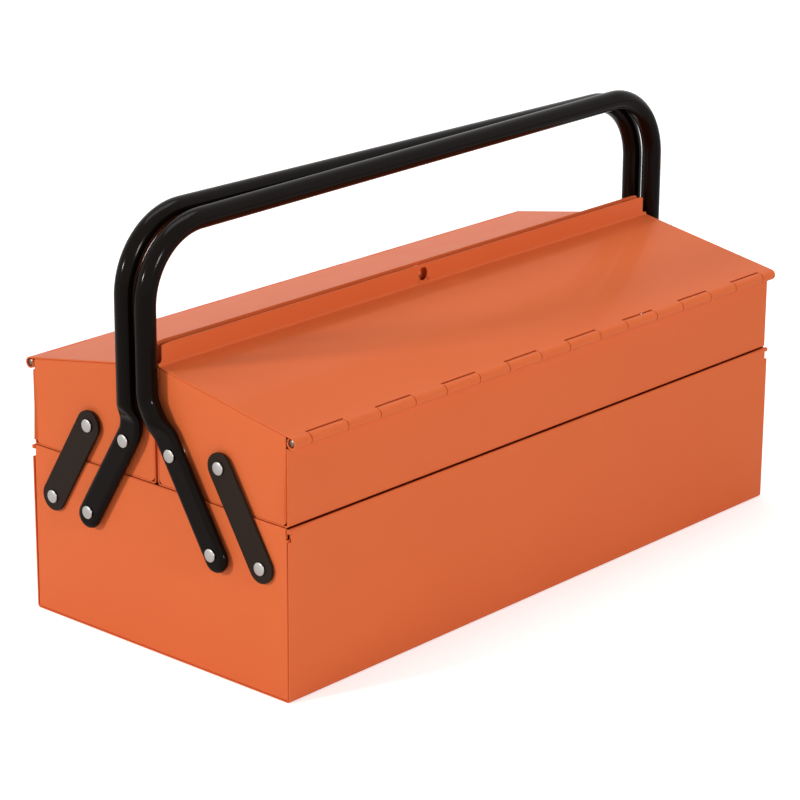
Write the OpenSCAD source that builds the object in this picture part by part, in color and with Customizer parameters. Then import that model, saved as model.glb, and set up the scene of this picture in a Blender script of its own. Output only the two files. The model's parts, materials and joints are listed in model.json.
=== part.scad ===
// Cantilever tool box: a sheet steel base, two lidded trays that swing out on
// parallel arms, and two tube handles whose lower ends are the inner arms.
// The length runs along X, up is Z, and the origin is under the middle of the box.
// The back half is the front half turned half a turn about Z.

/* [Base] */
// Length of the base over its end plates
body_l = 430; // [320:5:560]
// Width of the base over its long sides
body_w = 200; // [185:5:260]
// Height of the base's rim
base_h = 99; // [85:1:140]
// Outer radius of the fold along the base's bottom edges
base_fold_r = 2; // [1.5:0.1:4]

/* [Sheet] */
// Thickness of the sheet steel
sheet_t = 0.8; // [0.6:0.1:1.1]
// Height of the folded hems
hem_h = 6; // [4:0.5:8]
// Width of the spot-welded flanges inside the corners
flange_w = 12; // [8:1:16]
// Opening left between an end plate and a long side at the hem
hem_gap = 0.9; // [0.4:0.1:2]

/* [Trays] */
// Height of the hinge pin above the underside of the tray
tray_h = 47.4; // [40:0.2:70]
// Gap between the two closed trays
tray_gap = 2; // [1:0.5:4]
// How far the trays stand back from the base's ends
end_step = 1; // [0.5:0.5:3]
// How far the trays stand back from the base's long sides
side_step = 1.5; // [0.5:0.5:4]
// Outer radius of the fold along a tray's bottom edges
tray_fold_r = 2; // [1.5:0.5:5]
// How much rounder the tray ends' lower corners are than the fold, which leaves a small opening
corner_relief = 1; // [0.5:0.1:2]

/* [Lids] */
// Slope of the lids
lid_slope = 10; // [6:0.5:14]
// Height of a lid's upright flange above the ridge
flange_h = 12; // [11:0.5:20]
// How far a lid's flange stands back from the tray's inner wall
flange_inset = 1.5; // [0:0.5:3]
// Radius of the flange's top corners
flange_corner_r = 7; // [3:0.5:9]
// Setback of the flange from the front lid's left end
left_setback = 2.5; // [2.5:0.5:15]
// Setback of the flange from the front lid's right end
right_setback = 3.5; // [2.5:0.5:10]
// Inside radius of the fold between panel and flange
fold_r = 1.5; // [1:0.1:3]
// Radius of the flare where the flange's ends meet the fold
flare_r = 2; // [1:0.5:2]
// Diameter of the padlock holes
padlock_d = 8; // [6:0.5:9]
// Depth of the padlock holes' centres below the flanges' tops
padlock_drop = 6; // [5.5:0.5:7]

/* [Hinges] */
// Diameter of the hinge pins
pin_d = 4.8; // [3:0.2:5.4]
// Number of rolled tabs along each tray
tab_count = 8; // [4:1:9]
// Length of one rolled tab
tab_l = 27.5; // [18:0.5:30]
// Side gap between neighbouring knuckles
knuckle_gap = 0.5; // [0.3:0.1:1]
// How far each pin's end lies inside the knuckle
pin_inset = 0.5; // [0.2:0.1:2]

/* [Arms] */
// Depth of the lower pivots below the base's rim
pivot_drop = 26; // [20:1:35]
// Rise from an arm's lower pivot to its upper one
arm_rise = 49; // [44:1:60]
// Inward lean of a closed arm between its pivots
arm_lean = 30; // [24:1:34]
// Distance of the handles' upper pivots from the box's middle
handle_inset = 18; // [17:1:22]
// Distance of the links' lower pivots from the base's long side
link_inset = 19; // [14:1:24]
// Width of a link
link_w = 17; // [14:0.5:20]
// Thickness of a link
link_t = 2; // [1.5:0.1:3]

/* [Handles] */
// Outer diameter of the handle tube
tube_d = 12; // [10:0.5:14]
// Wall of the handle tube
tube_wall = 1.5; // [1:0.1:1.8]
// Thickness of the tube where it is pressed flat
flat_t = 5.9; // [5:0.1:7]
// Length of the arm below its lower pivot
arm_end = 10.8; // [9:0.2:14]
// Length of the flat past its upper pivot
flat_past = 9; // [7:0.5:11]
// Length over which the flat runs out into the round tube
press_l = 12; // [8:1:14]
// Bend radius where the arm turns upright
knee_r = 18; // [14:1:22]
// Bend radius of the grip's corners
corner_r = 42; // [25:1:50]
// Gap between the two closed handles
handle_gap = 5; // [3:0.5:6]
// How far the closed pair of handles stands behind the box's middle
handle_shift = 7.5; // [5:0.5:8]
// Clear height for a hand between the lids' flanges and the back grip
hand_room = 58.5; // [50:0.5:90]
// How much higher the front grip is than the back one
handle_step = 0.5; // [0:0.5:4]
// Angle by which each grip rises towards one end
grip_skew = 0.6; // [0:0.1:1]

/* [Rivets] */
// Diameter of the rivets' shanks
rivet_d = 5; // [4:0.5:6]
// Diameter of the rivets' heads
head_d = 7.5; // [7:0.5:10]
// Height of the rivets' heads
head_h = 1.3; // [0.9:0.1:2]
// Diameter of the flattened tails inside
tail_d = 8; // [7.5:0.5:10]
// Thickness of the flattened tails
tail_h = 1.2; // [0.8:0.1:2]
// Outer diameter of the spacing washers
washer_d = 11; // [9:0.5:13]

/* [Clearances] */
// Radial clearance of a running pivot
run_clear = 0.05; // [0.02:0.01:0.1]
// Radial clearance of rivet shanks in plates and of the links' upper pivots
loose_clear = 0.3; // [0.1:0.05:0.4]
// Gap between faces that move past each other
face_gap = 0.3; // [0.2:0.05:0.6]
// Gap between the base's ends and the arms
arm_gap = 0.4; // [0.3:0.05:1]

/* [Hidden] */
$fn = 48;
WELD = 0.2; // how deep joined shapes of one sheet or tube run into each other
PROUD = 0.02; // how far a bend stands proud of the flats or tubes that run into it
PAST = 1; // how far a cutting shape runs past the faces that it cuts

paint = [0.88, 0.42, 0.22];
black = [0.09, 0.08, 0.08];
zinc = [0.74, 0.73, 0.71];

half_l = body_l / 2;
half_w = body_w / 2;
end_plate_w = body_w - 2 * sheet_t;

// trays
tray_l = body_l - 2 * end_step;
tray_half = tray_l / 2;
tray_out = half_w - side_step;
tray_in = tray_gap / 2;
tray_w = tray_out - tray_in;
tray_mid = (tray_out + tray_in) / 2;
tray_z = base_h + face_gap;
tray_end_r = tray_fold_r + corner_relief;

// hinges
pin_r = pin_d / 2;
bore_r = pin_r + run_clear;
curl_r = bore_r + sheet_t;
pin_y = tray_out + bore_r;
pin_z = tray_z + tray_h;
tab_pitch = tray_l / tab_count;
notch_r = curl_r + face_gap;
notch_depth = sqrt(notch_r ^ 2 - bore_r ^ 2);
outer_wall_top = pin_z - curl_r - face_gap;

// lids
flange_y = tray_in + flange_inset + sheet_t;
fold = [-flange_y - fold_r, lid_z(-flange_y - fold_r, curl_r) + fold_r / cos(lid_slope)];
flange_foot = fold[1] + WELD;
ridge_z = lid_z(-flange_y, curl_r);
flange_top = ridge_z + flange_h;
padlock_z = flange_top - padlock_drop;

// arms
low_z = base_h - pivot_drop;
high_z = low_z + arm_rise;
arm_tilt = atan(arm_lean / arm_rise);
arm_len = norm([arm_lean, arm_rise]);
handle_y = handle_inset + arm_lean;
link_y = half_w - link_inset;
arm_x = half_l + arm_gap;

// handles
tube_r = tube_d / 2;
leg_x = half_l + tube_r;
leg_y = tube_r + handle_gap / 2;
flat_w = flat_t + PI * (tube_d - flat_t) / 2;
flat_top = arm_len + flat_past;
knee_reach = knee_r * tan(arm_tilt / 2);
grip_z = flange_top + hand_room + tube_r;
grip_half = leg_x - corner_r;
leg_top_z = grip_z - corner_r;

// rivets
rivet_r = rivet_d / 2;
hole_r = rivet_r + loose_clear;
edge_r = head_h / 2;

// Height of a line along the lid at a distance off the pin's axis, over the place y
function lid_z(y, off) = pin_z + off / cos(lid_slope) + (y + pin_y) * tan(lid_slope);

// How far along an arm the bend starts whose leg stands at the distance y
function knee_start(y) = (handle_y - y) / sin(arm_tilt) - knee_reach;

// Height at which that bend ends
function knee_top(y) = low_z + (handle_y - y) / tan(arm_tilt) + knee_reach;

// Middle of tab number i
function tab_x(i) = (i - (tab_count - 1) / 2) * tab_pitch;

// An outline in Y and Z, drawn along X
module along_x(from, to) {
    translate([from, 0, 0]) rotate([90, 0, 90]) linear_extrude(to - from) children();
}

// An outline in X and Z, drawn along Y about the middle
module along_y(len) {
    rotate([90, 0, 0]) linear_extrude(len, center = true) children();
}

// A round bar along X through the point y, z
module bar_x(r, from, to, y, z) {
    translate([from, y, z]) rotate([0, 90, 0]) cylinder(r = r, h = to - from);
}

// What is drawn for the +X end, at either end
module at_end(side) {
    mirror([side < 0 ? 1 : 0, 0, 0]) children();
}

// What is drawn for the front, at the back
module turned() {
    rotate([0, 0, 180]) children();
}

// A block with a rounded bottom, standing on zero
module round_bottom(w, h, r) {
    translate([-w / 2, r]) square([w, h - r]);
    translate([-w / 2 + r, 0]) square([w - 2 * r, h]);
    for (s = [-1, 1]) translate([s * (w / 2 - r), r]) circle(r);
}

// A sheet folded to a channel that opens upwards
module channel(w, h, r) {
    difference() {
        round_bottom(w, h, r);
        translate([0, sheet_t]) round_bottom(w - 2 * sheet_t, h + WELD, r - sheet_t);
    }
}

// The folded hem at the top of a wall whose outer face is at zero, turned towards +X
module hem(top) {
    translate([sheet_t, top - sheet_t]) circle(sheet_t);
    translate([0, top - hem_h]) square([2 * sheet_t, hem_h - sheet_t]);
}

// A flat strap with round ends between two points
module strap(w, a, b) {
    along = b - a;
    for (p = [a, b]) translate(p) circle(w / 2);
    translate(a) rotate(atan2(along[1], along[0])) translate([0, -w / 2]) square([norm(along), w]);
}

module base_shell() {
    color(paint) along_x(-half_l, half_l) {
        channel(body_w, base_h - sheet_t, base_fold_r);
        for (s = [0, 1]) mirror([s, 0]) translate([-half_w, 0]) hem(base_h);
    }
}

// End plate of the base, drawn for the +X end
module base_end() {
    flange_top_z = base_h - hem_h - face_gap;
    hem_len = body_w - 4 * sheet_t - 2 * hem_gap;
    foot_len = end_plate_w - 2 * base_fold_r;
    difference() {
        union() {
            translate([half_l, 0, base_fold_r]) rotate([0, 0, 90])
                linear_extrude(flange_top_z - base_fold_r) channel(end_plate_w, flange_w, base_fold_r);
            along_y(foot_len) translate([half_l - sheet_t, sheet_t]) square([sheet_t, base_fold_r]);
            along_y(foot_len - 2 * flange_w)
                translate([half_l - flange_w, sheet_t]) square([flange_w, sheet_t]);
            along_y(hem_len) {
                translate([half_l - sheet_t, flange_top_z - WELD])
                    square([sheet_t, base_h - sheet_t - flange_top_z + WELD]);
                translate([half_l, 0]) mirror([1, 0]) hem(base_h);
            }
        }
        for (y = [-link_y, -handle_y, handle_y, link_y])
            bar_x(hole_r, half_l - 2 * sheet_t, half_l + sheet_t, y, low_z);
    }
}

module base_end_left() {
    color(paint) at_end(-1) base_end();
}

module base_end_right() {
    color(paint) at_end(1) base_end();
}

// A rivet along X: tail, shank between the two faces it holds, head
module rivet(from, to, y, z) {
    translate([0, y, z]) rotate([0, 90, 0]) rotate_extrude() {
        translate([0, from - tail_h]) square([tail_d / 2, tail_h]);
        translate([0, from - WELD]) square([rivet_r, to - from + 2 * WELD]);
        translate([0, to]) square([head_d / 2, head_h - edge_r]);
        translate([0, to]) square([head_d / 2 - edge_r, head_h]);
        translate([head_d / 2 - edge_r, to + head_h - edge_r]) circle(edge_r);
    }
}

module base_rivets(y, arm_t) {
    for (side = [-1, 1], s = [-1, 1])
        at_end(side) rivet(half_l - sheet_t, arm_x + arm_t + face_gap, s * y, low_z);
}

module base_handle_rivets() {
    color(zinc) base_rivets(handle_y, flat_t);
}

module base_link_rivets() {
    color(zinc) base_rivets(link_y, link_t);
}

// A link, drawn for the front's +X end
module link() {
    low = [-link_y, low_z];
    high = low + [arm_lean, arm_rise];
    difference() {
        along_x(arm_x, arm_x + link_t) strap(link_w, low, high);
        bar_x(rivet_r + run_clear, arm_x - PAST, arm_x + link_t + PAST, low[0], low[1]);
        bar_x(rivet_r + loose_clear, arm_x - PAST, arm_x + link_t + PAST, high[0], high[1]);
    }
}

module front_link_left() {
    color(black) at_end(-1) link();
}

module front_link_right() {
    color(black) at_end(1) link();
}

module back_link_left() {
    color(black) turned() at_end(1) link();
}

module back_link_right() {
    color(black) turned() at_end(-1) link();
}

// Cross-section of the flattened tube, thinned by the inset all round
module flat_section(inset) {
    t = flat_t - 2 * inset;
    w = flat_w - 2 * inset;
    translate([arm_x + flat_t / 2, 0]) {
        square([t, w - t], center = true);
        for (s = [-1, 1]) translate([0, s * (w - t) / 2]) circle(t / 2);
    }
}

// Where a flat runs out into the round tube, standing on zero, thinned by the inset all round
module flattening(inset) {
    r = tube_r - inset;
    side = flat_w / 2 - inset;
    intersection() {
        translate([leg_x, 0, -WELD]) cylinder(r = r, h = press_l + 2 * WELD);
        along_y(2 * tube_d) polygon([
            [arm_x + inset, -2 * WELD], [arm_x + flat_t - inset, -2 * WELD],
            [leg_x + r + WELD, press_l + WELD], [leg_x + r + WELD, press_l + 2 * WELD],
            [leg_x - r - WELD, press_l + 2 * WELD], [leg_x - r - WELD, press_l + WELD]
        ]);
    }
    intersection() {
        translate([0, 0, -WELD]) linear_extrude(press_l) flat_section(inset);
        along_x(arm_x, arm_x + flat_t)
            polygon([[-side - WELD, -WELD], [side + WELD, -WELD], [0, press_l - WELD]]);
    }
}

// A quarter or less of a ring of tube in X and Y, swollen a little by the bending
module bend(bend_r, r, angle) {
    rotate_extrude(angle = angle) translate([bend_r, 0]) circle(r + PROUD);
}

// The bend between an arm and its leg at y, of what is drawn across the tube
module knee(y) {
    translate([0, -y - knee_r, knee_top(y)]) rotate([90, 0, 90]) rotate([0, 0, -arm_tilt])
        rotate_extrude(angle = arm_tilt) translate([knee_r, 0]) rotate(90) children();
}

// An arm whose flat runs out before the bend, drawn for the +X end with its leg at y
module straight_pressed(inset, y, top_z) {
    r = tube_r - inset;
    translate([0, -handle_y, low_z]) rotate([-arm_tilt, 0, 0]) {
        translate([0, 0, -arm_end - inset]) linear_extrude(arm_end + inset + flat_top) flat_section(inset);
        translate([0, 0, flat_top]) flattening(inset);
        translate([leg_x, 0, flat_top + press_l - WELD])
            cylinder(r = r, h = knee_start(y) - flat_top - press_l + 2 * WELD);
    }
    knee(y) translate([leg_x, 0]) circle(r + PROUD);
    translate([leg_x, -y, knee_top(y) - WELD]) cylinder(r = r, h = top_z - knee_top(y) + 2 * WELD);
}

// An arm that is bent in its flat, which runs out above the bend, drawn in the same way
module bent_pressed(inset, y, top_z) {
    r = tube_r - inset;
    start = knee_start(y);
    rest = max(0, flat_top - start - knee_r * arm_tilt * PI / 180);
    run_out = knee_top(y) + rest;
    translate([0, -handle_y, low_z]) rotate([-arm_tilt, 0, 0]) translate([0, 0, -arm_end - inset])
        linear_extrude(arm_end + inset + start + WELD) flat_section(inset);
    knee(y) flat_section(inset - PROUD);
    translate([0, -y, knee_top(y) - WELD]) linear_extrude(rest + 2 * WELD) flat_section(inset);
    translate([0, -y, run_out]) flattening(inset);
    translate([leg_x, -y, run_out + press_l - WELD])
        cylinder(r = r, h = top_z - run_out - press_l + 2 * WELD);
}

// One arm and leg, drawn for the +X end, thinned by the inset all round
module arm_and_leg(inset, y, top_z) {
    if (knee_start(y) < flat_top) bent_pressed(inset, y, top_z);
    else straight_pressed(inset, y, top_z);
}

// The whole run of a handle's tube, its legs at y and longer by the lift, thinned by the inset all round
module handle_run(inset, y, lift) {
    r = tube_r - inset;
    top_z = leg_top_z + lift;
    rise = grip_half * tan(grip_skew);
    grip_l = 2 * grip_half / cos(grip_skew) + 2 * WELD;
    for (side = [-1, 1]) at_end(side) arm_and_leg(inset, y, top_z + side * rise);
    translate([0, -y, top_z]) rotate([90, 0, 0]) {
        translate([-grip_half, -rise]) rotate([0, 0, 90 + grip_skew]) bend(corner_r, r, 90 - grip_skew);
        translate([grip_half, rise]) bend(corner_r, r, 90 + grip_skew);
        rotate([0, 0, grip_skew]) translate([0, corner_r, 0]) rotate([0, 90, 0])
            cylinder(r = r, h = grip_l, center = true);
    }
}

// Everything outside the rounded lower end of an arm, drawn for the +X end
module arm_end_waste() {
    end_r = flat_w / 2;
    translate([0, -handle_y, low_z]) rotate([-arm_tilt, 0, 0]) along_x(arm_x - PAST, arm_x + flat_t + PAST)
        difference() {
            translate([-end_r - PAST, -arm_end - 2 * PAST]) square([2 * (end_r + PAST), end_r + 2 * PAST]);
            translate([0, end_r - arm_end]) circle(end_r);
        }
}

module handle(y, lift) {
    difference() {
        handle_run(0, y, lift);
        handle_run(tube_wall, y, lift);
        for (side = [-1, 1]) at_end(side) {
            arm_end_waste();
            bar_x(rivet_r + run_clear, arm_x - PAST, arm_x + flat_t + PAST, -handle_y, low_z);
            bar_x(rivet_r + run_clear, arm_x - PAST, arm_x + flat_t + PAST, -handle_inset, high_z);
        }
    }
}

module front_handle() {
    color(black) handle(leg_y - handle_shift, handle_step);
}

module back_handle() {
    color(black) turned() handle(leg_y + handle_shift, 0);
}

// Floor and long walls of a tray, with the tabs rolled round the hinge pin
module tray_shell() {
    inner_top = lid_z(-tray_in - 2 * sheet_t, bore_r) - face_gap;
    wall_foot = tray_z + tray_fold_r;
    difference() {
        union() {
            along_x(-tray_half, tray_half) {
                translate([-tray_mid, tray_z]) channel(tray_w, outer_wall_top - tray_z, tray_fold_r);
                translate([-tray_in - sheet_t, wall_foot])
                    square([sheet_t, inner_top - sheet_t - wall_foot]);
                translate([-tray_in, 0]) mirror([1, 0]) hem(inner_top);
            }
            for (i = [0 : tab_count - 1]) along_x(tab_x(i) - tab_l / 2, tab_x(i) + tab_l / 2) {
                translate([-pin_y, pin_z]) circle(curl_r);
                translate([-tray_out, outer_wall_top - WELD])
                    square([sheet_t, pin_z - outer_wall_top + WELD - sheet_t / 2]);
            }
        }
        bar_x(bore_r, -tray_half, tray_half, -pin_y, pin_z);
    }
}

module front_tray_shell() {
    color(paint) tray_shell();
}

module back_tray_shell() {
    color(paint) turned() tray_shell();
}

// End plate of a tray, drawn for the front's +X end
module tray_end() {
    outer = -tray_out + sheet_t;
    inner = -tray_in - sheet_t;
    shoulder = outer_wall_top - WELD;
    near_pin = -pin_y + curl_r + 2 * face_gap;
    past_hem = inner - sheet_t - face_gap;
    below_hem = lid_z(inner - sheet_t, bore_r) - hem_h - 2 * face_gap;
    low_top = lid_z(near_pin, bore_r) - face_gap;
    high_top = lid_z(past_hem, bore_r) - face_gap;
    difference() {
        union() {
            along_x(tray_half - sheet_t, tray_half) {
                translate([-tray_mid, tray_z + sheet_t])
                    round_bottom(inner - outer, shoulder - tray_z - sheet_t, tray_end_r);
                polygon([
                    [near_pin, shoulder - WELD], [inner, shoulder - WELD], [inner, below_hem],
                    [past_hem, below_hem], [past_hem, high_top], [near_pin, low_top]
                ]);
            }
            along_x(tray_half - flange_w, tray_half) {
                translate([outer + flange_w, tray_z + sheet_t])
                    square([inner - outer - 2 * flange_w, sheet_t]);
                translate([outer, tray_z + flange_w]) square([sheet_t, shoulder - tray_z - flange_w]);
                translate([inner - sheet_t, tray_z + flange_w])
                    square([sheet_t, below_hem - tray_z - flange_w]);
                polygon([
                    [near_pin, low_top - sheet_t], [past_hem, high_top - sheet_t],
                    [past_hem, high_top], [near_pin, low_top]
                ]);
            }
        }
        for (y = [-handle_inset, -link_y + arm_lean])
            bar_x(hole_r, tray_half - 2 * sheet_t, tray_half + sheet_t, y, high_z);
    }
}

module front_tray_end_left() {
    color(paint) at_end(-1) tray_end();
}

module front_tray_end_right() {
    color(paint) at_end(1) tray_end();
}

module back_tray_end_left() {
    color(paint) turned() at_end(1) tray_end();
}

module back_tray_end_right() {
    color(paint) turned() at_end(-1) tray_end();
}

module hinge_pin() {
    bar_x(pin_r, -tray_half + pin_inset, tray_half - pin_inset, -pin_y, pin_z);
}

module front_hinge_pin() {
    color(zinc) hinge_pin();
}

module back_hinge_pin() {
    color(zinc) turned() hinge_pin();
}

module tray_rivets(y, arm_t) {
    for (side = [-1, 1]) at_end(side)
        rivet(tray_half - sheet_t, arm_x + arm_t + face_gap, -y, high_z);
}

module tray_washers() {
    for (side = [-1, 1], y = [handle_inset, link_y - arm_lean]) at_end(side) difference() {
        bar_x(washer_d / 2, tray_half, arm_x - face_gap, -y, high_z);
        bar_x(hole_r, tray_half - PAST, arm_x, -y, high_z);
    }
}

module front_tray_handle_rivets() {
    color(zinc) tray_rivets(handle_inset, flat_t);
}

module front_tray_link_rivets() {
    color(zinc) tray_rivets(link_y - arm_lean, link_t);
}

module front_tray_washers() {
    color(zinc) tray_washers();
}

module back_tray_handle_rivets() {
    color(zinc) turned() tray_rivets(handle_inset, flat_t);
}

module back_tray_link_rivets() {
    color(zinc) turned() tray_rivets(link_y - arm_lean, link_t);
}

module back_tray_washers() {
    color(zinc) turned() tray_washers();
}

// The lid's sheet in Y and Z: rolled edge, panel, fold and flange
module lid_section() {
    along = [cos(lid_slope), sin(lid_slope)];
    normal = [-sin(lid_slope), cos(lid_slope)];
    pin = [-pin_y, pin_z];
    outer_r = fold_r + sheet_t;
    reach = 2 * outer_r;
    translate(pin) circle(curl_r + PROUD);
    polygon([
        pin + bore_r * normal, fold - outer_r * normal + WELD * along,
        fold - fold_r * normal + WELD * along, pin + curl_r * normal
    ]);
    intersection() {
        translate(fold) difference() {
            circle(outer_r + PROUD);
            circle(fold_r - PROUD);
        }
        polygon([fold, fold - reach * normal, fold + [reach, -reach], fold + [reach, 0]]);
    }
    translate([-flange_y, fold[1] - WELD]) square([sheet_t, flange_top - fold[1] + WELD]);
}

// What the lid keeps, in X and Z: all below the flange's foot, and the flange's own outline
module lid_outline() {
    left = -tray_half + left_setback;
    right = tray_half - right_setback;
    r = flange_corner_r;
    translate([-tray_half - PAST, tray_z]) square([2 * (tray_half + PAST), flange_foot - tray_z]);
    translate([left, tray_z]) square([right - left, flange_top - r - tray_z]);
    translate([left + r, tray_z]) square([right - left - 2 * r, flange_top - tray_z]);
    for (x = [left + r, right - r]) translate([x, flange_top - r]) circle(r);
    for (s = [0, 1]) translate([s == 0 ? right : left, flange_foot]) mirror([s, 0]) difference() {
        translate([-WELD, -WELD]) square(flare_r + WELD);
        translate([flare_r + PROUD, flare_r + PROUD]) circle(flare_r);
    }
}

// The cut in the lid's rolled edge that makes room for one tab of the tray, in Y and Z
module lid_notch() {
    translate([-pin_y, pin_z]) rotate(lid_slope) {
        circle(notch_r);
        square([notch_depth, notch_r]);
    }
}

module lid() {
    difference() {
        intersection() {
            along_x(-tray_half, tray_half) lid_section();
            along_y(2 * (pin_y + curl_r + PAST)) lid_outline();
        }
        bar_x(bore_r, -tray_half - PAST, tray_half + PAST, -pin_y, pin_z);
        for (i = [0 : tab_count - 1])
            along_x(tab_x(i) - tab_l / 2 - knuckle_gap, tab_x(i) + tab_l / 2 + knuckle_gap) lid_notch();
        translate([0, -flange_y, padlock_z]) rotate([90, 0, 0])
            cylinder(r = padlock_d / 2, h = 2 * (sheet_t + PAST), center = true);
    }
}

module front_lid() {
    color(paint) lid();
}

module back_lid() {
    color(paint) turned() lid();
}

base_shell();
base_end_left();
base_end_right();
base_handle_rivets();
base_link_rivets();
front_handle();
back_handle();
front_link_left();
front_link_right();
back_link_left();
back_link_right();
front_tray_shell();
front_tray_end_left();
front_tray_end_right();
back_tray_shell();
back_tray_end_left();
back_tray_end_right();
front_hinge_pin();
back_hinge_pin();
front_tray_handle_rivets();
front_tray_link_rivets();
front_tray_washers();
back_tray_handle_rivets();
back_tray_link_rivets();
back_tray_washers();
front_lid();
back_lid();
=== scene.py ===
import json
import math

import bmesh
import bpy
from mathutils import Matrix, Vector

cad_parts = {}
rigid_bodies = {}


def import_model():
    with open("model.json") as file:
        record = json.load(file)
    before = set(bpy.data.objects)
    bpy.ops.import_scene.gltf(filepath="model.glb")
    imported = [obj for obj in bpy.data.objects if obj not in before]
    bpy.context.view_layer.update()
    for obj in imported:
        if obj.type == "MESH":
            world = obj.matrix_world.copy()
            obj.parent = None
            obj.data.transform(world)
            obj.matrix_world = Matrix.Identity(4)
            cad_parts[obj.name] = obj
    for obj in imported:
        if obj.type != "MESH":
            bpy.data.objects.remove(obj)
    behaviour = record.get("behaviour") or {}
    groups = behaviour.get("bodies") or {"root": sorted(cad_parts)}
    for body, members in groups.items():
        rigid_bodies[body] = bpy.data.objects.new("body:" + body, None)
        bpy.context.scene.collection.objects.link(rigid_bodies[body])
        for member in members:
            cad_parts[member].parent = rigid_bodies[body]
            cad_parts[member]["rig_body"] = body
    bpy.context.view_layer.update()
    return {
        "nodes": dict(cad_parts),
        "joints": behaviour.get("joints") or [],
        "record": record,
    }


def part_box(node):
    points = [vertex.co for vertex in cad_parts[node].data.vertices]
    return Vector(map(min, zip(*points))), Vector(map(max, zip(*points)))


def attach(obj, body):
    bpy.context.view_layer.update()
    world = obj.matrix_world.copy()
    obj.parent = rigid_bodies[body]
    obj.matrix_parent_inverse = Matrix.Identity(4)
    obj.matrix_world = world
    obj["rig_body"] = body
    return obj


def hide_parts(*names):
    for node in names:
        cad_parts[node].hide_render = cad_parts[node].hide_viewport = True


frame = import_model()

mm = 0.001
alongX = Vector((1, 0, 0))


def boxMm(node):
    low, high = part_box(node)
    return low / mm, high / mm


def pivotMm(joint):
    return next(Vector(j["pos_m"]) / mm for j in frame["joints"] if j["name"] == joint)


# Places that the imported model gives, in millimetres
baseLow, baseHigh = boxMm("base_shell")
trayLow, trayHigh = boxMm("front_tray_shell")
pinLow, pinHigh = boxMm("front_hinge_pin")
pin = (pinLow + pinHigh) / 2
pinRadius = (pinHigh.z - pinLow.z) / 2
lowPivot = pivotMm("front_handle_swing")
highPivot = pivotMm("front_tray_level")
linkPivot = pivotMm("front_link_right_swing")

sheet = {
    "thickness": 0.8,
    "roundEdge": 0.18,   # how far the cut edges are rounded
    "hemRadius": 0.46,   # of the middle of the sheet, in the folded rims
    "hemHeight": 6.0,
    "arcSteps": 8,       # faces in a quarter turn
}
half = sheet["thickness"] / 2

# Finishes


class Wire:
    # a socket in a finish, whose operators stand for Math nodes
    def __init__(self, finish, socket):
        self.finish, self.socket = finish, socket

    def maths(self, operation, first, second):
        return self.finish.node("Math", {"operation": operation}, {0: first, 1: second})

    def __add__(self, other):
        return self.maths("ADD", self, other)

    def __sub__(self, other):
        return self.maths("SUBTRACT", self, other)

    def __rsub__(self, other):
        return self.maths("SUBTRACT", other, self)

    def __mul__(self, other):
        return self.maths("MULTIPLY", self, other)

    def __gt__(self, other):
        return self.maths("GREATER_THAN", self, other)

    __radd__ = __add__
    __rmul__ = __mul__


class Finish:
    def __init__(self, name):
        self.material = bpy.data.materials.new(name)
        self.material.use_nodes = True
        self.tree = self.material.node_tree
        self.tree.nodes.clear()
        self.place = self.node("TexCoord", out="Object")

    def node(self, kind, settings=None, sockets=None, out=0):
        made = self.tree.nodes.new("ShaderNode" + kind)
        for key, value in (settings or {}).items():
            if key == "stops":
                self.setStops(made.color_ramp, value)
            else:
                setattr(made, key, value)
        for key, value in (sockets or {}).items():
            if isinstance(value, Wire):
                self.tree.links.new(value.socket, made.inputs[key])
            else:
                made.inputs[key].default_value = value
        return Wire(self, made.outputs[out])

    def setStops(self, ramp, stops):
        while len(ramp.elements) < len(stops):
            ramp.elements.new(1)
        for element, (position, colour) in zip(ramp.elements, stops):
            element.position, element.color = position, colour

    def noise(self, scale, detail=2, rough=0.5, stretch=None):
        vector = self.place
        if stretch:
            vector = self.node("VectorMath", {"operation": "MULTIPLY"}, {0: vector, 1: stretch})
        return self.node("TexNoise", {}, {"Vector": vector, "Scale": scale, "Detail": detail, "Roughness": rough})

    def blend(self, share, first, second):
        return self.node("Mix", {"data_type": "RGBA"}, {0: share, 6: first, 7: second}, out=2)

    def bump(self, height, depth, under=None):
        sockets = {"Height": height, "Distance": depth, "Strength": 1.0}
        if under:
            sockets["Normal"] = under
        return self.node("Bump", {}, sockets)

    def surface(self, sockets):
        shader = self.node("BsdfPrincipled", {}, sockets)
        output = self.tree.nodes.new("ShaderNodeOutputMaterial")
        self.tree.links.new(shader.socket, output.inputs["Surface"])
        return self.material


enamel = {
    "colour": (0.785, 0.162, 0.048, 1),
    "thinColour": (0.735, 0.146, 0.042, 1),
    "coat": 0.07,
    "orangePeel": 0.000012,  # metres
    "panelWave": 0.00022,
}


def orangeEnamel():
    f = Finish("orangeEnamel")
    cloud = f.noise(9, 3)
    peel = f.noise(520, 2, 0.6)
    wave = f.noise(11, 1)
    nib = f.node("TexVoronoi", {}, {"Vector": f.place, "Scale": 38.0}, out="Distance")
    nibs = f.node("MapRange", {}, {0: nib, 1: 0.0, 2: 0.035, 3: 1.0, 4: 0.0})
    waved = f.bump(wave, enamel["panelWave"])
    speckled = f.bump(nibs, 0.00006, waved)
    return f.surface({
        "Base Color": f.blend(cloud, enamel["colour"], enamel["thinColour"]),
        "Roughness": 0.36 + 0.10 * f.noise(60, 3),
        "Specular IOR Level": 0.07,
        "Coat Weight": enamel["coat"],
        "Coat Roughness": 0.07,
        "Normal": f.bump(peel, enamel["orangePeel"], speckled),
    })


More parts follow.
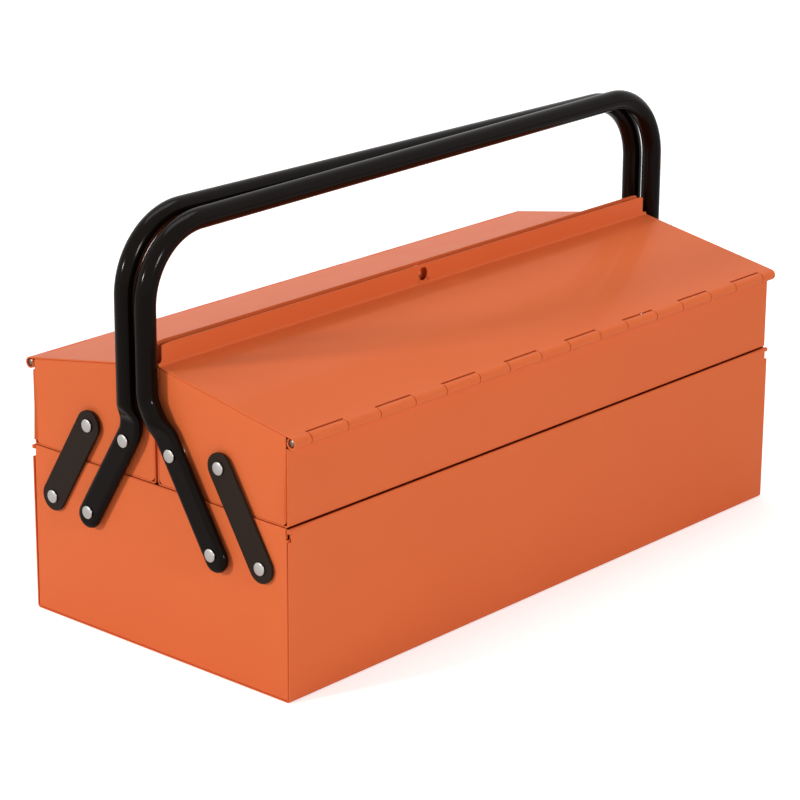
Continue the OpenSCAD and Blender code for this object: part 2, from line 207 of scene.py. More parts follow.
def blackEnamel():
    f = Finish("blackEnamel")
    peel = f.noise(420, 2)
    return f.surface({
        "Base Color": f.blend(f.noise(14, 3), (0.0065, 0.0036, 0.0024, 1), (0.004, 0.0023, 0.0016, 1)),
        "Roughness": 0.1 + 0.06 * f.noise(45, 3),
        "Specular IOR Level": 0.08,
        "Normal": f.bump(peel, 0.00001, f.bump(f.noise(28, 1), 0.00008)),
    })


def satinBlack():
    f = Finish("satinBlack")
    return f.surface({
        "Base Color": f.blend(f.noise(30, 4), (0.024, 0.0135, 0.0085, 1), (0.017, 0.0095, 0.006, 1)),
        "Roughness": 0.34 + 0.12 * f.noise(80, 3),
        "Specular IOR Level": 0.1,
        "Normal": f.bump(f.noise(650, 3), 0.000022),
    })


def brightZinc(name="brightZinc", colour=(0.60, 0.57, 0.54, 1)):
    f = Finish(name)
    marks = f.noise(900, 4, 0.6, stretch=(1, 0.25, 1))
    return f.surface({
        "Base Color": f.blend(f.noise(160, 3), colour, tuple(0.78 * c for c in colour[:3]) + (1,)),
        "Metallic": 1.0,
        "Roughness": 0.26 + 0.16 * f.noise(300, 3),
        "Normal": f.bump(marks, 0.000015),
    })


orange, black, satin, zinc = orangeEnamel(), blackEnamel(), satinBlack(), brightZinc()
wire = brightZinc("dullZinc", (0.26, 0.19, 0.15, 1))
print("finishes made")

# Sheet metal helpers


class Bender:
    # draws the middle line of a sheet in Y and Z, run by run and bend by bend
    def __init__(self, y, z, heading):
        self.bm = bmesh.new()
        self.tip = self.bm.verts.new((0, y, z))
        self.heading = math.radians(heading)

    def run(self, length):
        self.tip = bmesh.ops.extrude_vert_indiv(self.bm, verts=[self.tip])["verts"][0]
        step = Vector((0, math.cos(self.heading), math.sin(self.heading))) * length
        bmesh.ops.translate(self.bm, vec=step, verts=[self.tip])
        return self

    def turn(self, degrees):
        self.heading += math.radians(degrees)
        return self

    def bend(self, radius, degrees, steps=0):
        angle = math.radians(degrees)
        side = math.copysign(radius, angle)
        centre = self.tip.co + Vector((0, -math.sin(self.heading), math.cos(self.heading))) * side
        steps = steps or math.ceil(sheet["arcSteps"] * abs(degrees) / 90)
        self.tip = spun(self.bm, [self.tip], centre, alongX, angle, steps)[0]
        return self.turn(degrees)

    def sweep(self, start, end):
        # stretches the line along X
        bmesh.ops.translate(self.bm, vec=(start, 0, 0), verts=self.bm.verts)
        extruded(self.bm, self.bm.edges[:], (end - start, 0, 0))
        return self.bm

    def lathe(self, steps=48):
        # turns the line about Y, then lays that axis along X
        spun(self.bm, self.bm.edges[:], (0, 0, 0), (0, 1, 0), math.tau, steps)
        bmesh.ops.rotate(self.bm, cent=(0, 0, 0), matrix=Matrix.Rotation(-math.pi / 2, 3, "Z"), verts=self.bm.verts)
        return self.bm


def spun(bm, geom, centre, axis, angle, steps):
    full = abs(abs(angle) - math.tau) < 1e-6
    last = bmesh.ops.spin(bm, geom=geom, cent=centre, axis=axis, angle=angle, steps=steps, use_merge=full)
    return [g for g in last["geom_last"] if isinstance(g, type(geom[0]))]


def extruded(bm, edges, by):
    # the new edges, moved by a step
    made = bmesh.ops.extrude_edge_only(bm, edges=edges)["geom"]
    verts = {g for g in made if isinstance(g, bmesh.types.BMVert)}
    bmesh.ops.translate(bm, vec=by, verts=list(verts))
    return [g for g in made if isinstance(g, bmesh.types.BMEdge) and verts.issuperset(g.verts)]


def near(a, b):
    return abs(a - b) < 1e-3


def edgesWhere(bm, test):
    return [e for e in bm.edges if test(e.verts[0].co, e.verts[1].co)]


def cut(bm, place, normal, faces=None):
    geom = bm.verts[:] + bm.edges[:] + bm.faces[:]
    if faces is not None:
        geom = faces + list({e for f in faces for e in f.edges}) + list({v for f in faces for v in f.verts})
    bmesh.ops.bisect_plane(bm, geom=geom, plane_co=place, plane_no=normal, dist=1e-4)


def dropFaces(bm, test):
    bmesh.ops.delete(bm, geom=[f for f in bm.faces if test(f.calc_center_median())], context="FACES")


def roundCorners(bm, verts, radius, segments=6):
    bmesh.ops.bevel(bm, geom=verts, offset=radius, affect="VERTICES", segments=segments, profile=0.5, material=-1)


def roundFolds(bm, edges, radius):
    bmesh.ops.bevel(
        bm, geom=edges, offset=radius, affect="EDGES", segments=sheet["arcSteps"], profile=0.5, material=-1)


def mirrored(bm):
    bmesh.ops.scale(bm, vec=(-1, 1, 1), verts=bm.verts)
    return bm


def turned(bm):
    bmesh.ops.rotate(bm, cent=(0, 0, 0), matrix=Matrix.Rotation(math.pi, 3, "Z"), verts=bm.verts)
    return bm


def addPiece(name, bm, node, finish, wall=0, edge=0, edgeSteps=2, angle=40):
    bmesh.ops.remove_doubles(bm, verts=bm.verts, dist=1e-4)
    bmesh.ops.recalc_face_normals(bm, faces=bm.faces)
    bmesh.ops.scale(bm, vec=(mm, mm, mm), verts=bm.verts)
    mesh = bpy.data.meshes.new(name)
    bm.to_mesh(mesh)
    bm.free()
    mesh.shade_smooth()
    mesh.materials.append(finish)
    piece = bpy.data.objects.new(name, mesh)
    bpy.context.scene.collection.objects.link(piece)
    if wall:
        solid = piece.modifiers.new("wall", "SOLIDIFY")
        solid.thickness, solid.offset, solid.use_even_offset = wall * mm, 0, True
    if edge:
        soft = piece.modifiers.new("edges", "BEVEL")
        soft.width, soft.segments, soft.harden_normals = edge * mm, edgeSteps, True
        soft.limit_method, soft.angle_limit, soft.use_clamp_overlap = "ANGLE", math.radians(angle), False
    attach(piece, frame["nodes"][node]["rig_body"])
    next(s["material_slot"] for s in frame["record"]["subparts"] if s["node"] == node)
    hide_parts(node)
    return piece


def addSheet(name, bm, node):
    return addPiece(name, bm, node, orange, sheet["thickness"], sheet["roundEdge"])


# The base

base = {
    "foldRadius": 1.6,      # of the middle of the sheet, along the bottom
    "endFold": 0.7,
    "flange": 12.0,
    "hemGap": 0.9,
    "hemDrop": 6.3,         # from the rim to the top of the side flanges
    "seam": (0.25, 0.6),    # gap beside the end plates at the bottom, and what it grows by up to the rim
    "notch": (2.3, 2.6, 4.6),   # cut at the long sides' ends: width, drop below the rim, height
    "ear": (13.5, 2.5, 1.2),    # rim's overlap at the corners: length, height at the corner and at its tip
    "earThrow": 0.32,       # how far the overlap stands out
}


def baseShell():
    halfWidth = baseHigh.y - half
    hem, fold = sheet["hemRadius"], base["foldRadius"]
    top = baseHigh.z - half - hem
    hemRun = sheet["hemHeight"] - half - hem
    line = Bender(-halfWidth + 2 * hem, top - hemRun, 90)
    line.run(hemRun).bend(hem, 180).run(top - half - fold).bend(fold, 90)
    line.run(2 * (halfWidth - fold)).bend(fold, 90).run(top - half - fold).bend(hem, 180).run(hemRun)
    bm = line.sweep(baseLow.x, baseHigh.x)
    wide, drop, tall = base["notch"]
    high = baseHigh.z - drop
    cut(bm, (0, 0, high), (0, 0, 1))
    cut(bm, (0, 0, high - tall), (0, 0, 1))
    for side in (-1, 1):
        cut(bm, (side * (baseHigh.x - wide), 0, 0), alongX)
    dropFaces(bm, lambda c: high - tall < c.z < high and abs(c.x) > baseHigh.x - wide)
    for side in (-1, 1):
        for end in (-1, 1):
            rimEar(bm, side, end)
    addSheet("baseShell", bm, "base_shell")


def rimEar(bm, side, end):
    # the rim's sheet laps over the long side at each corner
    long, tall, tip = base["ear"]
    y = side * (baseHigh.y - half + base["earThrow"])
    corner, top = end * baseHigh.x, baseHigh.z - half
    outline = [(corner, top), (corner, baseHigh.z - tall), (corner - end * long, baseHigh.z - tip - half),
               (corner - end * (long + 1.2), top)]
    bm.faces.new([bm.verts.new((x, y, z)) for x, z in outline])


def baseEnd(side):
    face = baseHigh.x - half
    wide = baseHigh.y - 1.5 * sheet["thickness"]
    narrow = baseHigh.y - 2 * sheet["thickness"] - base["hemGap"]
    foot = 1.5 * sheet["thickness"]
    shoulder = baseHigh.z - base["hemDrop"]
    hem = sheet["hemRadius"]
    top = baseHigh.z - half - hem
    outline = [(wide, foot), (wide, shoulder), (narrow, shoulder), (narrow, top)]
    corners = [(face, y, z) for y, z in outline] + [(face, -y, z) for y, z in reversed(outline)]
    bm = bmesh.new()
    bm.faces.new([bm.verts.new(c) for c in corners])
    folds = edgesWhere(bm, lambda a, b: near(a.z, foot) and near(b.z, foot) or near(abs(a.y), wide) and near(a.y, b.y))
    rim = edgesWhere(bm, lambda a, b: near(a.z, top) and near(b.z, top))
    over = spun(bm, rim, (face - hem, 0, top), (0, 1, 0), -math.pi, 2 * sheet["arcSteps"])
    extruded(bm, over, (0, 0, half + hem - sheet["hemHeight"]))
    for edge in folds:
        extruded(bm, [edge], (half - base["flange"], 0, 0))
    bmesh.ops.remove_doubles(bm, verts=bm.verts, dist=1e-4)
    folds = edgesWhere(bm, lambda a, b: near(a.x, face) and near(b.x, face) and
                       (near(a.z, foot) and near(b.z, foot) or near(abs(a.y), wide) and near(a.y, b.y)))
    roundFolds(bm, folds, base["endFold"])
    for vert in bm.verts:
        if abs(vert.co.y) > wide - base["endFold"] - 0.01:
            gap = base["seam"][0] + base["seam"][1] * vert.co.z / baseHigh.z
            vert.co.y -= math.copysign(gap, vert.co.y)
    word = "Left" if side < 0 else "Right"
    addSheet("baseEnd" + word, mirrored(bm) if side < 0 else bm, "base_end_" + word.lower())


baseShell()
for side in (-1, 1):
    baseEnd(side)
print("base made")

# The trays

hinge = {
    "tabs": 8,
    "tabLength": 27.5,
    "gap": 0.5,          # beside each knuckle
    "bore": 2.45,        # radius inside a knuckle
    "curl": 315,         # degrees that a knuckle is rolled through
    "openTop": 0.3,      # from the tray's wall to the lid's knuckles
}
tray = {
    "foldRadius": 1.0,
    "cornerRadius": 2.5,  # of the end plates, a little rounder than the fold
    "flange": 12.0,
    "topGap": 0.3,
    "seam": 0.22,         # gap beside the end plates
    "underLid": 0.08,     # gap over the end plates
    "endFold": 0.7,
}
curlRadius = hinge["bore"] + half
slope = math.radians(10)
alongLid = Vector((0, math.cos(slope), math.sin(slope)))
notch = math.sqrt((hinge["bore"] + sheet["thickness"] + hinge["openTop"]) ** 2 - hinge["bore"] ** 2)
wallTop = pin.z - curlRadius - half - hinge["openTop"]
tabPitch = (trayHigh.x - trayLow.x) / hinge["tabs"]
tabPlaces = [trayLow.x + (i + 0.5) * tabPitch for i in range(hinge["tabs"])]


def inTab(x, room=0):
    return any(abs(x - place) < hinge["tabLength"] / 2 + room for place in tabPlaces)


def lidUnderside(y):
    return pin.z + hinge["bore"] / math.cos(slope) + (y - pin.y) * math.tan(slope)


def trayShell():
    hem, fold = sheet["hemRadius"], tray["foldRadius"]
    inner = trayHigh.y - half
    outer = pin.y + curlRadius
    top = trayHigh.z - half - hem
    hemRun = sheet["hemHeight"] - half - hem
    floor = trayLow.z + half
    line = Bender(inner - 2 * hem, top - hemRun, 90)
    line.run(hemRun).bend(hem, -180).run(top - floor - fold).bend(fold, -90)
    line.run(inner - outer - 2 * fold).bend(fold, -90).run(wallTop - floor - fold)
    line.run(pin.z - wallTop).bend(curlRadius, hinge["curl"], 32)
    bm = line.sweep(trayLow.x, trayHigh.x)
    for place in tabPlaces:
        for side in (-1, 1):
            cut(bm, (place + side * hinge["tabLength"] / 2, 0, 0), alongX)
    dropFaces(bm, lambda c: c.y < outer + 1 and c.z > wallTop and not inTab(c.x))
    return bm


def trayEnd():
    face = trayHigh.x - half
    outer = pin.y + hinge["bore"] + 1.5 * sheet["thickness"] + tray["seam"]
    inner = trayHigh.y - 1.5 * sheet["thickness"]
    foot = trayLow.z + 1.5 * sheet["thickness"]
    nearPin = pin.y + curlRadius + half + 2 * tray["topGap"]
    pastHem = inner - 1.5 * sheet["thickness"] - tray["topGap"] + half
    drop = tray["underLid"] + half / math.cos(slope)
    belowHem = trayHigh.z - sheet["hemHeight"] - tray["topGap"]
    outline = [
        (outer, foot), (inner, foot), (inner, belowHem), (pastHem, belowHem),
        (pastHem, lidUnderside(pastHem) - drop), (nearPin, lidUnderside(nearPin) - drop),
        (nearPin, wallTop), (outer, wallTop)]
    bm = bmesh.new()
    verts = [bm.verts.new((face, y, z)) for y, z in outline]
    bm.faces.new(verts)
    roundCorners(bm, verts[:2], tray["cornerRadius"], 8)
    reach = half - tray["flange"]
    bm.verts.ensure_lookup_table()

    def between(a, b, low, high):
        return a.z >= low - 1e-3 and b.z >= low - 1e-3 and a.z <= high + 1e-3 and b.z <= high + 1e-3

    straight = foot + tray["cornerRadius"]
    folds = edgesWhere(bm, lambda a, b: (
        near(a.z, foot) and near(b.z, foot)
        or near(a.y, b.y) and (near(a.y, outer) or near(a.y, inner)) and between(a, b, straight, belowHem)
        or not near(a.z, b.z) and not near(a.y, b.y) and a.z > wallTop and b.z > wallTop))
    for edge in folds:
        extruded(bm, [edge], (reach, 0, 0))
    roundFolds(bm, folds, tray["endFold"])
    return bm


# The lids

lid = {
    "foldRadius": 1.9,        # of the middle of the sheet
    "flangeFoot": 0.2,        # how far above the fold the panel's ends are cut
    "leftSetback": 2.5,
    "rightSetback": 3.5,
    "cornerRadius": 7.0,
    "flareRadius": 2.0,
    "padlockRadius": 4.0,
    "padlockDrop": 6.0,
}


def lidPanel():
    lidHigh = boxMm("front_lid")[1]
    top, flange = lidHigh.z, lidHigh.y - half
    fold = lid["foldRadius"]
    centre = Vector((0, flange - fold, 0))
    centre.z = pin.z + (curlRadius + fold) / math.cos(slope) + (centre.y - pin.y) * math.tan(slope)
    length = (centre - Vector((0, pin.y, pin.z))).dot(alongLid)
    line = Bender(flange, top, -90).run(top - centre.z)
    line.bend(fold, -80).run(length).bend(curlRadius, hinge["curl"], 32)
    bm = line.sweep(trayLow.x, trayHigh.x)
    axis = Vector((0, pin.y, pin.z))
    cut(bm, axis + alongLid * notch, alongLid)
    room = hinge["tabLength"] / 2 + hinge["gap"]
    for place in tabPlaces:
        for side in (-1, 1):
            cut(bm, (place + side * room, 0, 0), alongX)
    dropFaces(bm, lambda c: (c - axis).dot(alongLid) < notch and inTab(c.x, hinge["gap"]))
    return flangeShape(bm, flange, centre.z + lid["flangeFoot"], top)


def flangeShape(bm, flange, foot, top):
    left, right = trayLow.x + lid["leftSetback"], trayHigh.x - lid["rightSetback"]
    flare, steps = lid["flareRadius"], 5

    def upright():
        return [f for f in bm.faces if near(f.calc_center_median().y, flange) and f.calc_center_median().z > foot - 0.3]

    cut(bm, (0, 0, foot), (0, 0, 1), upright())
    for x in (left, right):
        cut(bm, (x, 0, 0), alongX, upright())
    for i in range(1, steps + 1):
        angle = math.pi / 2 * i / steps
        cut(bm, (0, 0, foot + flare * (1 - math.cos(angle))), (0, 0, 1), upright())
    dropFaces(bm, lambda c: near(c.y, flange) and c.z > foot and not left < c.x < right)
    for vert in bm.verts:
        rise = vert.co.z - foot
        if near(vert.co.y, flange) and -1e-3 <= rise < flare:
            reach = flare - math.sqrt(max(0, flare ** 2 - (flare - rise) ** 2))
            if near(vert.co.x, left):
                vert.co.x -= reach
            if near(vert.co.x, right):
                vert.co.x += reach
    padlockHole(bm, flange, top - lid["padlockDrop"], upright)
    bm.verts.ensure_lookup_table()
    corners = [v for v in bm.verts if near(v.co.z, top) and (near(v.co.x, left) or near(v.co.x, right))]
    roundCorners(bm, corners, lid["cornerRadius"], 10)
    return bm


def padlockHole(bm, flange, height, upright):
    radius = lid["padlockRadius"]
    room = 1.25 * radius
    for sign in (-1, 1):
        cut(bm, (sign * room, 0, 0), alongX, upright())
        cut(bm, (0, 0, height + sign * room), (0, 0, 1), upright())
    centre = Vector((0, flange, height))
    middle = [f for f in upright() if (f.calc_center_median() - centre).length < room]
    dissolved = bmesh.ops.dissolve_faces(bm, faces=middle)["region"] if len(middle) > 1 else middle
    bmesh.ops.subdivide_edges(bm, edges=dissolved[0].edges[:], cuts=7)
    window = min(bm.faces, key=lambda f: (f.calc_center_median() - centre).length)
    bmesh.ops.inset_region(bm, faces=[window], thickness=0.1, use_even_offset=True)
    for vert in window.verts:
        vert.co = centre + (vert.co - centre).normalized() * radius
    bmesh.ops.delete(bm, geom=[window], context="FACES")


for word, place in (("front", lambda bm: bm), ("back", turned)):
    addSheet(word + "TrayShell", place(trayShell()), word + "_tray_shell")
    for side in ("Left", "Right"):
        flip = (side == "Left") == (word == "front")
        end = trayEnd()
        addSheet(word + "TrayEnd" + side, place(mirrored(end) if flip else end), word + "_tray_end_" + side.lower())
    addSheet(word + "Lid", place(lidPanel()), word + "_lid")
print("trays and lids made")

# Rivets, washers and pins

rivet = {
    "shank": 2.5,
    "tailRadius": 4.0,
    "tailHeight": 1.2,
    "headRadius": 3.75,
    "headHeight": 1.3,
    "edgeRadius": 0.45,
    "dome": 14,            # degrees that the head's face falls towards its rim
}
armGap = 0.4
armFace = baseHigh.x + armGap
tubeFlat = 5.9
linkThickness = 2.0


def rivetShape(start, end):
    edge, dome = rivet["edgeRadius"], rivet["dome"]
    line = Bender(start - rivet["tailHeight"], 0, 90).run(rivet["tailRadius"] - edge).bend(edge, -90, 4)
    line.run(rivet["tailHeight"] - edge).turn(-90).run(rivet["tailRadius"] - rivet["shank"])
    line.turn(90).run(end - start).turn(90).run(rivet["headRadius"] - rivet["shank"])
    line.turn(-90).run(rivet["headHeight"] - edge - 0.35).bend(edge, dome - 90, 5)
    rim = line.tip.co.z
    line.bend(rim / math.sin(math.radians(dome)), -dome, 6)
    return line.lathe()


def addRivets(name, node, start, end, places, finish):
    bm = bmesh.new()
    for x, y, z in places:
        one = rivetShape(start, end)
        if x < 0:
            mirrored(one)
        bmesh.ops.translate(one, vec=(0, y, z), verts=one.verts)
        mesh = bpy.data.meshes.new("rivet")
        one.to_mesh(mesh)
        one.free()
        bm.from_mesh(mesh)
        bpy.data.meshes.remove(mesh)
    addPiece(name, bm, node, finish)


def washerShape(start, end):
    hole, rim, soft = 2.8, 5.5, 0.2
    line = Bender(start, hole, 90).run(rim - hole - soft).bend(soft, -90, 3).run(end - start - 2 * soft)
    line.bend(soft, -90, 3).run(rim - hole - soft).turn(-90).run(end - start)
    return line.lathe()


def pinShape():
    chamfer = 0.85
    long = pinHigh.x - pinLow.x
    line = Bender(pinLow.x, 0, 90).run(pinRadius - chamfer).turn(-45).run(chamfer * math.sqrt(2))
    line.turn(-45).run(long - 2 * chamfer).turn(-45).run(chamfer * math.sqrt(2)).turn(-45).run(pinRadius - chamfer)
    bm = line.lathe(32)
    bmesh.ops.translate(bm, vec=(0, pin.y, pin.z), verts=bm.verts)
    return bm


bothEnds = (-1, 1)
baseInside, trayInside = baseHigh.x - sheet["thickness"], trayHigh.x - sheet["thickness"]
handleOut, linkOut = armFace + tubeFlat + 0.3, armFace + linkThickness + 0.3
linkTop = highPivot.y - lowPivot.y + linkPivot.y
addRivets("baseHandleRivets", "base_handle_rivets", baseInside, handleOut,
          [(x, y * lowPivot.y, lowPivot.z) for x in bothEnds for y in bothEnds], zinc)
addRivets("baseLinkRivets", "base_link_rivets", baseInside, linkOut,
          [(x, y * linkPivot.y, lowPivot.z) for x in bothEnds for y in bothEnds], zinc)
for word, sign in (("front", 1), ("back", -1)):
    addRivets(word + "TrayHandleRivets", word + "_tray_handle_rivets", trayInside, handleOut,
              [(x, sign * highPivot.y, highPivot.z) for x in bothEnds], zinc)
    addRivets(word + "TrayLinkRivets", word + "_tray_link_rivets", trayInside, linkOut,
              [(x, sign * linkTop, highPivot.z) for x in bothEnds], zinc)
    washers = bmesh.new()
    for x in bothEnds:
        for y in (highPivot.y, linkTop):
            one = washerShape(trayHigh.x, armFace - 0.3)
            if x < 0:
                mirrored(one)
            bmesh.ops.translate(one, vec=(0, sign * y, highPivot.z), verts=one.verts)
            mesh = bpy.data.meshes.new("washer")
            one.to_mesh(mesh)
            one.free()
            washers.from_mesh(mesh)
            bpy.data.meshes.remove(mesh)
    addPiece(word + "TrayWashers", washers, word + "_tray_washers", zinc)
    addPiece(word + "HingePin", pinShape() if sign > 0 else turned(pinShape()), word + "_hinge_pin", wire)
print("rivets, washers and pins made")

# Links and handles

link = {"width": 17.0, "edge": 0.35}
handle = {
    "radius": 6.0,
    "armEnd": 10.8,        # below the lower pivot
    "flatPast": 9.0,       # past the upper pivot
    "pressLength": 12.0,   # over which the flat runs out into the round tube
    "kneeRadius": 18.0,
    "cornerRadius": 42.0,
    "skew": 0.6,           # degrees that the grip rises towards one end
    "ringPoints": 48,
}
rise = highPivot - lowPivot
armLength = rise.length
armTilt = math.atan2(rise.y, rise.z)


def linkShape():
    width = link["width"]
    bm = bmesh.new()
    x = armFace
    corners = [(x, y, z) for y, z in (
        (-width / 2, -width / 2), (width / 2, -width / 2),
        (width / 2, armLength + width / 2), (-width / 2, armLength + width / 2))]
    verts = [bm.verts.new(c) for c in corners]
    face = bm.faces.new(verts)
    roundCorners(bm, verts, width / 2 - 0.001, 16)
    bmesh.ops.remove_doubles(bm, verts=bm.verts, dist=0.01)
    made = bmesh.ops.extrude_face_region(bm, geom=bm.faces[:])["geom"]
    bmesh.ops.translate(bm, vec=(linkThickness, 0, 0), verts=[g for g in made if isinstance(g, bmesh.types.BMVert)])
    bmesh.ops.rotate(bm, cent=(0, 0, 0), matrix=Matrix.Rotation(-armTilt, 3, "X"), verts=bm.verts)
    bmesh.ops.translate(bm, vec=(0, linkPivot.y, linkPivot.z), verts=bm.verts)
    return bm


def pressed(x, y, share):
    # a point of the round tube, moved to where it lies once the tube is pressed to a share of the flat
    radius = handle["radius"]
    thick = 2 * radius - share * (2 * radius - tubeFlat)
    straight = math.pi * (2 * radius - thick) / 2
    along = math.atan2(y, x) * radius     # from the middle of the outer face
    side = math.copysign(1, along)
    along = abs(along)
    if along < straight / 2:
        place = (thick / 2, along)
    elif along < straight / 2 + math.pi * thick / 2:
        angle = (along - straight / 2) / (thick / 2)
        place = (thick / 2 * math.cos(angle), straight / 2 + thick / 2 * math.sin(angle))
    else:
        place = (-thick / 2, math.pi * radius - along)
    return place[0], side * place[1]


def pressedRing(ring, heading, share):
    # presses one ring of the tube, whose run points down at a heading from the upright
    centre = sum((v.co for v in ring), Vector()) / len(ring)
    across = Matrix.Rotation(heading, 3, "X") @ Vector((0, 1, 0))
    middle = share * (armFace + tubeFlat / 2 - centre.x)
    for vert in ring:
        off = vert.co - centre
        x, y = pressed(off.x, off.dot(across), share)
        vert.co = centre + alongX * (middle + x) + across * y


def handleHalf(skew, legY, handleTop):
    radius, corner, knee = handle["radius"], handle["cornerRadius"], handle["kneeRadius"]
    legX = baseHigh.x + radius
    gripHalf = legX - corner
    gripZ = handleTop - radius - gripHalf * math.tan(abs(math.radians(handle["skew"])))
    legTop = gripZ - corner + gripHalf * math.tan(math.radians(skew))
    # places along the tube, counted from the lower pivot
    kneeStart = (legY - lowPivot.y) / math.sin(armTilt) - knee * math.tan(armTilt / 2)
    kneeEnd = kneeStart + knee * armTilt
    flatStop = armLength + handle["flatPast"]
    if kneeStart < flatStop:
        flatStop = max(flatStop, kneeEnd)
    pressEnd = flatStop + handle["pressLength"]
    flatEnd = flatPressedWidth() / 2 - handle["armEnd"]
    spare = max(0, pressEnd - kneeEnd)
    kneeTop = lowPivot.z + kneeStart * math.cos(armTilt) + knee * math.sin(armTilt)
    bm = bmesh.new()
    bmesh.ops.create_circle(bm, radius=radius, segments=handle["ringPoints"])
    bmesh.ops.translate(bm, vec=(legX, legY, kneeTop + spare), verts=bm.verts)
    ring = bm.edges[:]
    top = extruded(bm, ring, (0, 0, legTop - kneeTop - spare))
    bend = math.radians(90 + skew)
    top = spun(bm, top, (gripHalf, legY, legTop), (0, 1, 0), -bend, 20)
    extruded(bm, top, (-gripHalf, 0, -gripHalf * math.tan(math.radians(skew))))
    down = Matrix.Rotation(-armTilt, 3, "X") @ Vector((0, 0, -1))
    low, place, rings = ring, kneeEnd + spare, []
    for i in range(12 if spare else 0):
        low = extruded(bm, low, (0, 0, -spare / 12))
        place -= spare / 12
        rings.append((low, 0, place))
    kneeSteps = 10
    for i in range(kneeSteps):
        low = spun(bm, low, (0, legY - knee, kneeTop), alongX, -armTilt / kneeSteps, 1)
        place -= knee * armTilt / kneeSteps
        rings.append((low, -armTilt * (i + 1) / kneeSteps, place))
    pressRun = max(0, kneeStart - flatStop)
    for count, length in ((16 if pressRun else 0, pressRun), (6, kneeStart - pressRun - flatEnd)):
        for i in range(count):
            low = extruded(bm, low, down * length / count)
            place -= length / count
            rings.append((low, -armTilt, place))
    for edges, heading, place in rings:
        share = min(1, max(0, (pressEnd - place) / handle["pressLength"]))
        verts = list({v for e in edges for v in e.verts})
        pressedRing(verts, heading, share ** 2 * (3 - 2 * share))
    across = Matrix.Rotation(-armTilt, 3, "X") @ Vector((0, 1, 0))
    middle = lowPivot - down * flatEnd
    rim = [e for e in low if ((e.verts[0].co + e.verts[1].co) / 2 - middle).dot(across) > 0]
    spun(bm, rim, middle, alongX, -math.pi, 16)
    return bm


def flatPressedWidth():
    return tubeFlat + math.pi * (2 * handle["radius"] - tubeFlat) / 2


def handleShape(node):
    low, high = boxMm(node)
    legY = high.y - handle["radius"] if node == "front_handle" else -low.y - handle["radius"]
    bm = handleHalf(handle["skew"], legY, high.z)
    other = mirrored(handleHalf(-handle["skew"], legY, high.z))
    mesh = bpy.data.meshes.new("half")
    other.to_mesh(mesh)
    other.free()
    bm.from_mesh(mesh)
    bpy.data.meshes.remove(mesh)
    return bm


for word, place in (("front", lambda bm: bm), ("back", turned)):
    addPiece(word + "Handle", place(handleShape(word + "_handle")), word + "_handle", black)
    for side in ("Left", "Right"):
        flip = (side == "Left") == (word == "front")
        strap = linkShape()
        addPiece(word + "Link" + side, place(mirrored(strap) if flip else strap),
                 word + "_link_" + side.lower(), satin, edge=link["edge"])
print("links and handles made")

# Lights, floor and camera

camera = {
    "lens": 135.739, "azimuth": -48.315, "elevation": 18.637, "roll": 0.334,
    "distance": 1.788153, "target": (0, 0, 0.1), "offset": (-0.01072, -0.005129),
}


def placeCamera():
    azimuth, elevation, roll = (math.radians(camera[k]) for k in ("azimuth", "elevation", "roll"))
    back = Vector((math.sin(azimuth) * math.cos(elevation), -math.cos(azimuth) * math.cos(elevation), math.sin(elevation)))
    right = Vector((0, 0, 1)).cross(back).normalized()
    up = back.cross(right)
    place = Vector(camera["target"]) + back * camera["distance"]
    place += right * camera["offset"][0] + up * camera["offset"][1]
    turn = Matrix((right, up, back)).transposed() @ Matrix.Rotation(roll, 3, "Z")
    data = bpy.data.cameras.new("camera")
    data.lens, data.sensor_width, data.clip_end = camera["lens"], 36, 50
    eye = bpy.data.objects.new("camera", data)
    eye.matrix_world = Matrix.Translation(place) @ turn.to_4x4()
    bpy.context.scene.collection.objects.link(eye)
    bpy.context.scene.camera = eye


lamps = {
    "side": {"place": (-5.0, 1.7, 2.2), "size": (0.5, 0.5), "power": 146, "aim": (0, 0, 0.1)},
    "front": {"place": (-1.0, -5.6, 2.2), "size": (0.9, 0.9), "power": 130, "aim": (0, 0, 0.1)},
    "top": {"place": (0.3, 0.4, 3.0), "size": (2.4, 1.2), "power": 36, "aim": (0, 0, 0.1)},
}


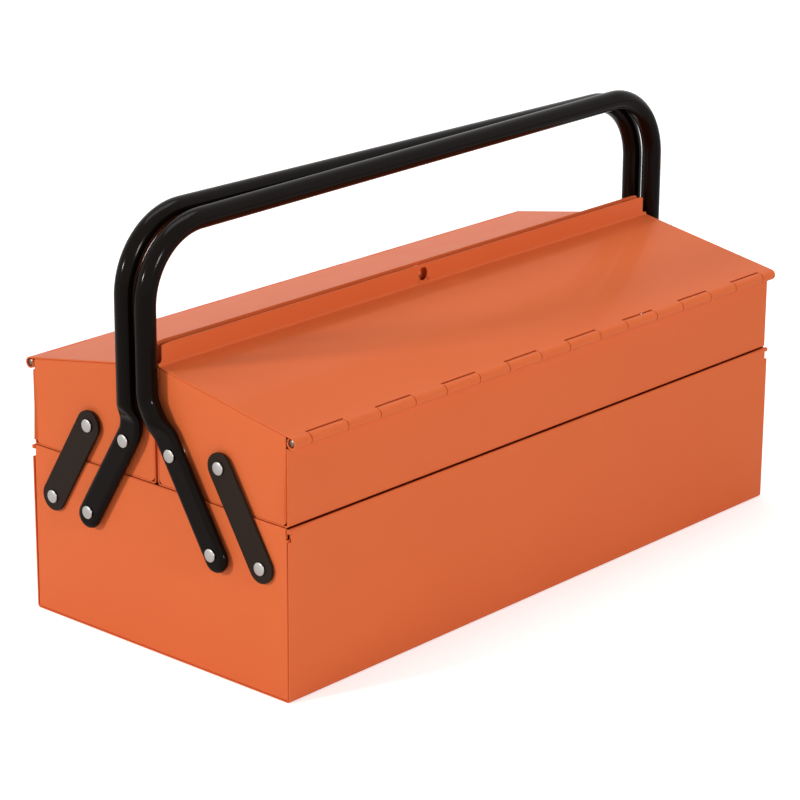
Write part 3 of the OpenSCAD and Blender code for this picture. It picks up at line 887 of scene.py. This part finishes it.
def addLamp(name, facts):
    data = bpy.data.lights.new(name, "AREA")
    data.shape, data.energy = "RECTANGLE", facts["power"]
    data.size, data.size_y = facts["size"]
    lamp = bpy.data.objects.new(name, data)
    away = Vector(facts["place"]) - Vector(facts["aim"])
    lamp.matrix_world = Matrix.Translation(facts["place"]) @ away.to_track_quat("Z", "Y").to_matrix().to_4x4()
    bpy.context.scene.collection.objects.link(lamp)


def addFloor():
    f = Finish("paleFloor")
    seen = f.node("LightPath", out="Is Camera Ray")
    output = f.tree.nodes.new("ShaderNodeOutputMaterial")
    shader = f.node("BsdfPrincipled", {}, {
        "Base Color": (0.86, 0.86, 0.86, 1), "Roughness": 0.7, "Specular IOR Level": 0.07,
        "Emission Color": (1, 1, 1, 1), "Emission Strength": seen * 0.52,
    })
    f.tree.links.new(shader.socket, output.inputs["Surface"])
    bm = bmesh.new()
    bmesh.ops.create_grid(bm, x_segments=8, y_segments=8, size=9)
    mesh = bpy.data.meshes.new("floor")
    bm.to_mesh(mesh)
    bm.free()
    mesh.materials.append(f.material)
    floor = bpy.data.objects.new("floor", mesh)
    bpy.context.scene.collection.objects.link(floor)


def setWorld():
    world = bpy.data.worlds.new("studio")
    bpy.context.scene.world = world
    world.use_nodes = True
    nodes, links = world.node_tree.nodes, world.node_tree.links
    path = nodes.new("ShaderNodeLightPath")
    seen = nodes.new("ShaderNodeMath")
    seen.operation = "MAXIMUM"
    links.new(path.outputs["Is Camera Ray"], seen.inputs[0])
    links.new(path.outputs["Is Transmission Ray"], seen.inputs[1])
    gloss = nodes.new("ShaderNodeMath")
    gloss.operation = "MAXIMUM"
    links.new(seen.outputs[0], gloss.inputs[0])
    links.new(path.outputs["Is Glossy Ray"], gloss.inputs[1])
    strength = nodes.new("ShaderNodeMix")
    strength.inputs[2].default_value, strength.inputs[3].default_value = 0.287, 1.0
    links.new(gloss.outputs[0], strength.inputs[0])
    links.new(strength.outputs[0], nodes["Background"].inputs["Strength"])
    nodes["Background"].inputs["Color"].default_value = (1, 1, 1, 1)


placeCamera()
for name, facts in lamps.items():
    addLamp(name, facts)
addFloor()
setWorld()
bpy.context.scene.view_settings.view_transform = "Standard"
print("studio made")
